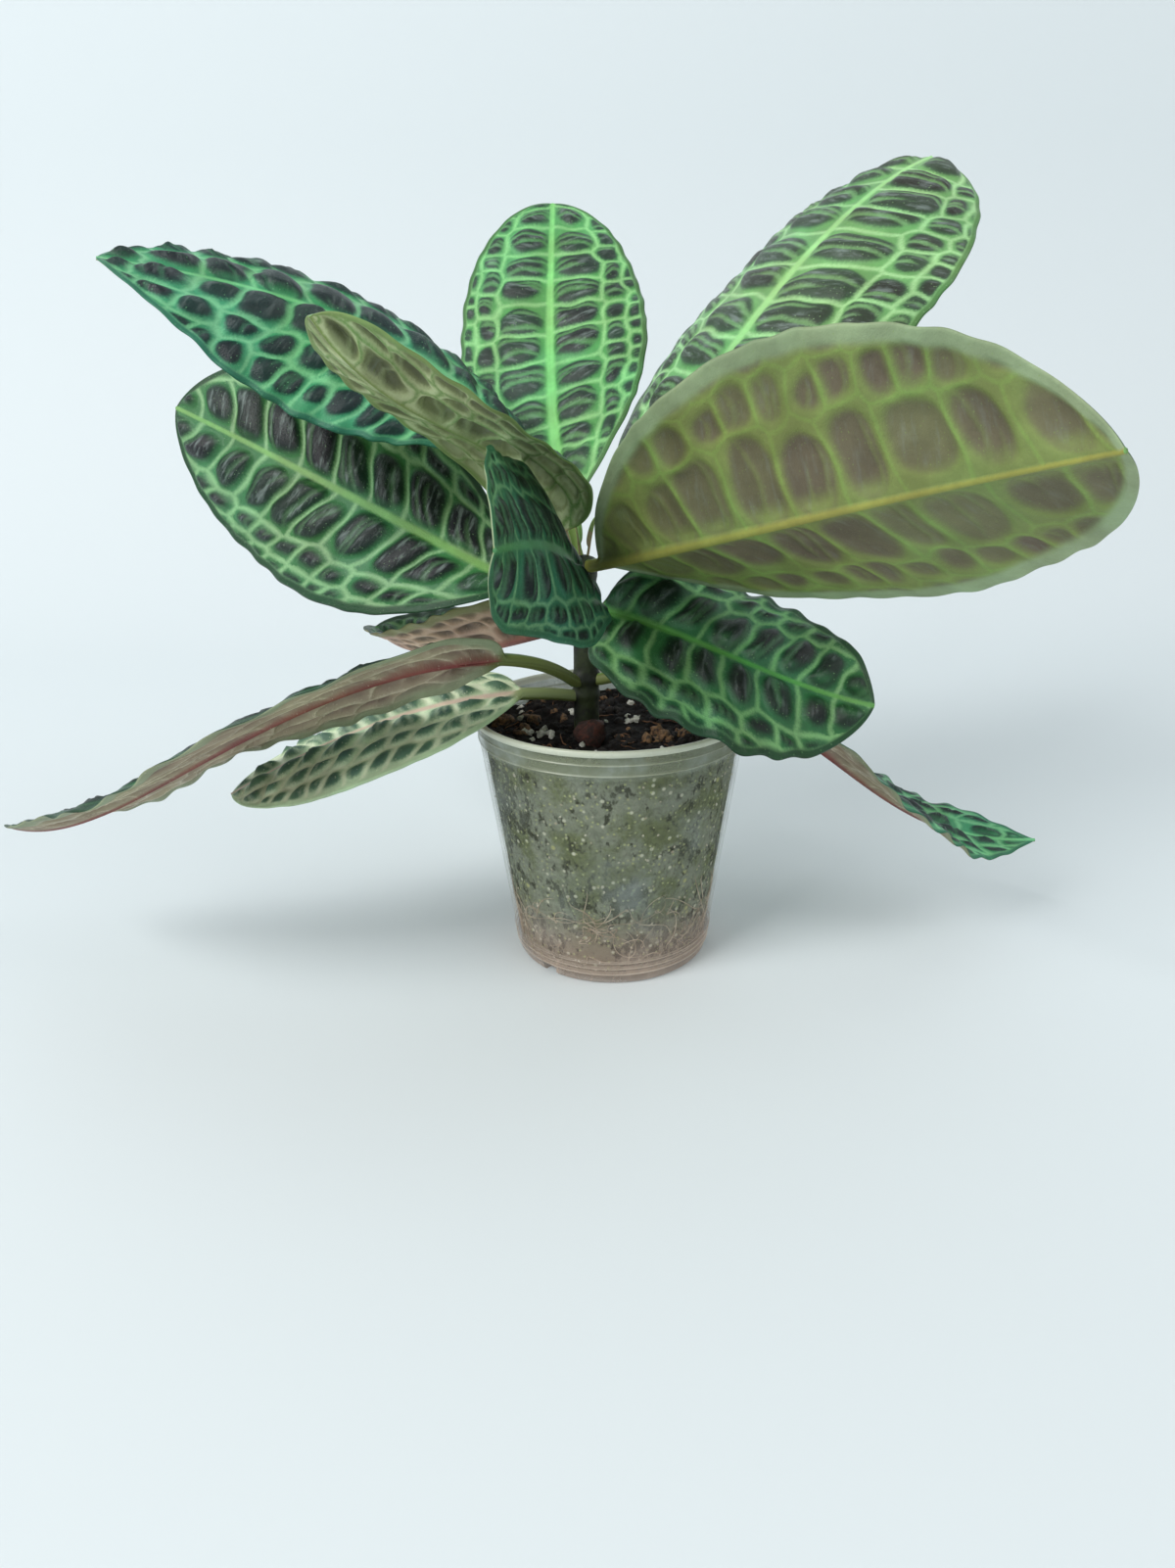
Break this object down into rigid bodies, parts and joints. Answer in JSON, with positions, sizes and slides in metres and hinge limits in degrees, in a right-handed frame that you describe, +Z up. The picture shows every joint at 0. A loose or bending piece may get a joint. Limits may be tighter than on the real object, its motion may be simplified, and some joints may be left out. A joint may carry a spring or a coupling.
{
  "type": "potted ardisia",
  "caption": "House plant with large quilted, net-veined leaves on a short stem, in a small clear nursery pot of soil.",
  "frame": {"origin": "middle of the underside of the pot's base, on the surface the pot stands on", "axes": "+Z up along the pot's axis; -Y is the front that the picture shows; +X is the viewer's right"},
  "size_m": [0.3882, 0.2852, 0.2831],
  "materials": {
    "pot_plastic": "clear, slightly cloudy, finely scratched",
    "soil": "dark fibrous potting mix with pale perlite and bark",
    "stem": "green bark, satin",
    "leaf_green": "bright green net over dark cells, satin",
    "leaf_dark": "green net over blue-black cells, satin",
    "leaf_underside": "olive underside, matt",
    "leaf_pink": "brownish pink underside, matt",
    "leaf_pale": "cream-green net over green cells, satin"
  },
  "bodies": {
    "root": {"pot": "pot_plastic", "soil": "soil", "stem": "stem", "leaf_upper_left": "leaf_green", "leaf_folded": "leaf_underside", "leaf_left": "leaf_dark", "leaf_upright": "leaf_green", "leaf_upper_right": "leaf_green", "leaf_right": "leaf_underside", "leaf_front_right": "leaf_dark", "leaf_front_twisted": "leaf_dark", "leaf_back_left": "leaf_pink", "leaf_low_left": "leaf_pink", "leaf_low_pale": "leaf_pale", "leaf_low_right": "leaf_dark", "shoot_leaf_left": "leaf_green", "shoot_leaf_right": "leaf_green"}
  },
  "joints": []
}
